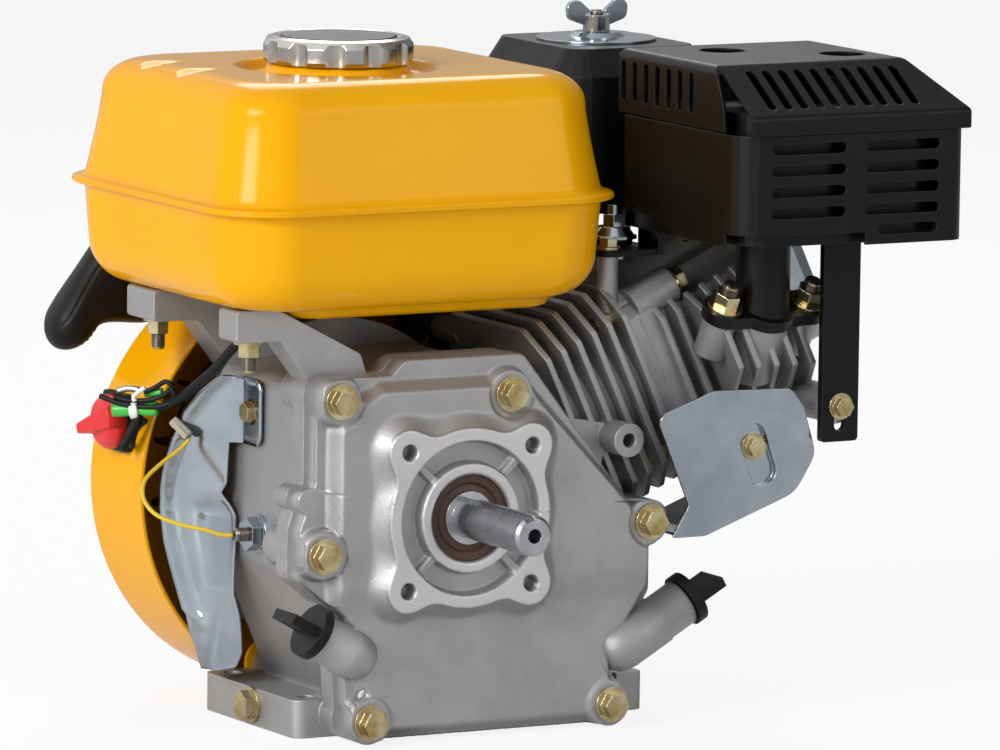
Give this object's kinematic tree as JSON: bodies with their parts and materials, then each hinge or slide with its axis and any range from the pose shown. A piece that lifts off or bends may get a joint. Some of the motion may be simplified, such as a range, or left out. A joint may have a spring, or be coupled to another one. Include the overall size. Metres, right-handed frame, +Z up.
{
  "type": "small gasoline engine",
  "caption": "Air-cooled single-cylinder gasoline engine: inclined finned cylinder, horizontal keyed output shaft, saddle fuel tank, guarded muffler and recoil starter.",
  "frame": {"origin": "middle of the four base holes, on the underside of the feet", "axes": "+Z up, the output shaft points along -Y, the cylinder leans out along +X"},
  "size_m": [0.363, 0.312, 0.3313],
  "materials": {
    "cast_alloy": "sand-cast aluminium alloy, dull",
    "galvanised": "zinc-plated sheet, satin",
    "plated_bolts": "yellow-passivated zinc plating",
    "brown_rubber": "moulded oil seal",
    "bare_steel": "machined steel",
    "yellow_paint": "gloss paint",
    "black_paint": "satin heat-proof paint",
    "black_plastic": "fine grain",
    "black_rubber": "smooth",
    "white_ceramic": "glazed insulator",
    "chrome": "bright plating",
    "red_plastic": "smooth",
    "yellow_lead": "wire insulation",
    "green_sleeve": "insulating sleeve",
    "white_braid": "woven",
    "white_plastic": "smooth",
    "filter_foam": "pleated paper and foam"
  },
  "bodies": {
    "engine": {"crankcase": "cast_alloy", "side_cover": "cast_alloy", "cylinder_head": "cast_alloy", "rocker_cover": "galvanised", "m8_bolts": "plated_bolts", "m6_bolts": "plated_bolts", "drain_plugs": "plated_bolts", "tank_arms": "cast_alloy", "oil_seals": "brown_rubber", "main_bearings": "bare_steel", "fan_cover": "yellow_paint", "side_shroud": "galvanised", "ignition_coil": "black_plastic", "recoil_housing": "yellow_paint", "starter_rope": "white_braid", "spark_plug": "white_ceramic", "plug_cap": "black_rubber", "exhaust_pipe": "black_paint", "stud_nuts": "plated_bolts", "muffler": "black_paint", "muffler_guard": "black_paint", "guard_hood": "black_paint", "lower_deflector": "galvanised", "tank_lower": "yellow_paint", "tank_upper": "yellow_paint", "filler_neck": "yellow_paint", "carburettor": "cast_alloy", "float_bowl": "galvanised", "carburettor_spacer": "black_plastic", "air_filter_base": "black_plastic", "filter_stud": "galvanised", "filter_element": "filter_foam", "control_plate": "black_paint", "throttle_pivot": "galvanised", "switch_body": "black_plastic", "black_leads": "black_rubber", "yellow_lead": "yellow_lead", "lead_boot": "white_braid", "lead_sleeve": "green_sleeve", "cable_tie": "white_plastic", "oil_terminal": "galvanised"},
    "crank": {"crankshaft": "bare_steel", "flywheel": "cast_alloy", "cooling_fan": "black_plastic", "starter_cup": "bare_steel"},
    "cam": {"camshaft": "bare_steel"},
    "piston": {"piston": "cast_alloy"},
    "grip": {"starter_grip": "black_plastic"},
    "reel": {"starter_reel": "black_plastic"},
    "knob": {"switch_knob": "red_plastic"},
    "cap_gasket": {"cap_seal": "black_rubber"},
    "cap": {"fuel_cap": "chrome"},
    "filter_lid": {"air_filter_cover": "black_plastic", "filter_washer": "galvanised"},
    "wing": {"wing_nut": "galvanised"},
    "throttle": {"throttle_lever": "black_paint"},
    "choke": {"choke_lever": "black_plastic"},
    "fuel_valve": {"fuel_valve_lever": "black_plastic"},
    "left_stick": {"left_dipstick": "black_plastic"},
    "right_stick": {"right_dipstick": "black_plastic"}
  },
  "joints": [
    {"name": "crank_spin", "type": "hinge", "parent": "engine", "child": "crank", "pos_m": [-0.022, -0.029, 0.106], "axis": [0, -1, 0], "continuous": true},
    {"name": "cam_spin", "type": "hinge", "parent": "engine", "child": "cam", "pos_m": [0.00955, -0.029, 0.06095], "axis": [0, -1, 0], "continuous": true},
    {"name": "piston_slide", "type": "slide", "parent": "engine", "child": "piston", "axis": [0.9063, 0, 0.4226], "range_m": [-0.045, 0]},
    {"name": "starter_pull", "type": "slide", "parent": "engine", "child": "grip", "axis": [-0.788, 0, 0.6157], "range_m": [0, 0.6], "stiffness_N_per_m": 40, "springref_m": -0.4},
    {"name": "reel_spin", "type": "hinge", "parent": "engine", "child": "reel", "pos_m": [-0.022, 0.126, 0.106], "axis": [0, -1, 0], "range_deg": [0, 1150]},
    {"name": "switch_turn", "type": "hinge", "parent": "engine", "child": "knob", "pos_m": [-0.137, 0.071, 0.137], "axis": [-1, 0, 0], "range_deg": [0, 60]},
    {"name": "cap_lift", "type": "slide", "parent": "engine", "child": "cap_gasket", "axis": [0, 0, 1], "range_m": [0, 0.06]},
    {"name": "cap_twist", "type": "hinge", "parent": "cap_gasket", "child": "cap", "pos_m": [-0.05, -0.004, 0.315], "axis": [0, 0, 1], "range_deg": [0, 90]},
    {"name": "filter_lid_lift", "type": "slide", "parent": "engine", "child": "filter_lid", "axis": [0, 0, 1], "range_m": [0, 0.1]},
    {"name": "wing_nut_turn", "type": "hinge", "parent": "filter_lid", "child": "wing", "pos_m": [0.12, 0.051, 0.318], "axis": [0, 0, 1], "continuous": true},
    {"name": "throttle_turn", "type": "hinge", "parent": "engine", "child": "throttle", "pos_m": [0.086, -0.029, 0.224], "axis": [0, 0, -1], "range_deg": [0, 40]},
    {"name": "choke_turn", "type": "hinge", "parent": "engine", "child": "choke", "pos_m": [0.11824, 0.075, 0.216], "axis": [0, 0, -1], "range_deg": [0, 50]},
    {"name": "fuel_valve_turn", "type": "hinge", "parent": "engine", "child": "fuel_valve", "pos_m": [0.08824, 0.066, 0.18967], "axis": [1, 0, 0], "range_deg": [0, 90]},
    {"name": "left_dipstick_slide", "type": "slide", "parent": "engine", "child": "left_stick", "axis": [-0.866, 0, 0.5], "range_m": [0, 0.08]},
    {"name": "right_dipstick_slide", "type": "slide", "parent": "engine", "child": "right_stick", "axis": [0.866, 0, 0.5], "range_m": [0, 0.08]}
  ],
  "couplings": [
    {"joint": "cam_spin", "follows": "crank_spin", "ratio": -0.5},
    {"joint": "reel_spin", "follows": "starter_pull", "rad_per_m": 33.333}
  ]
}
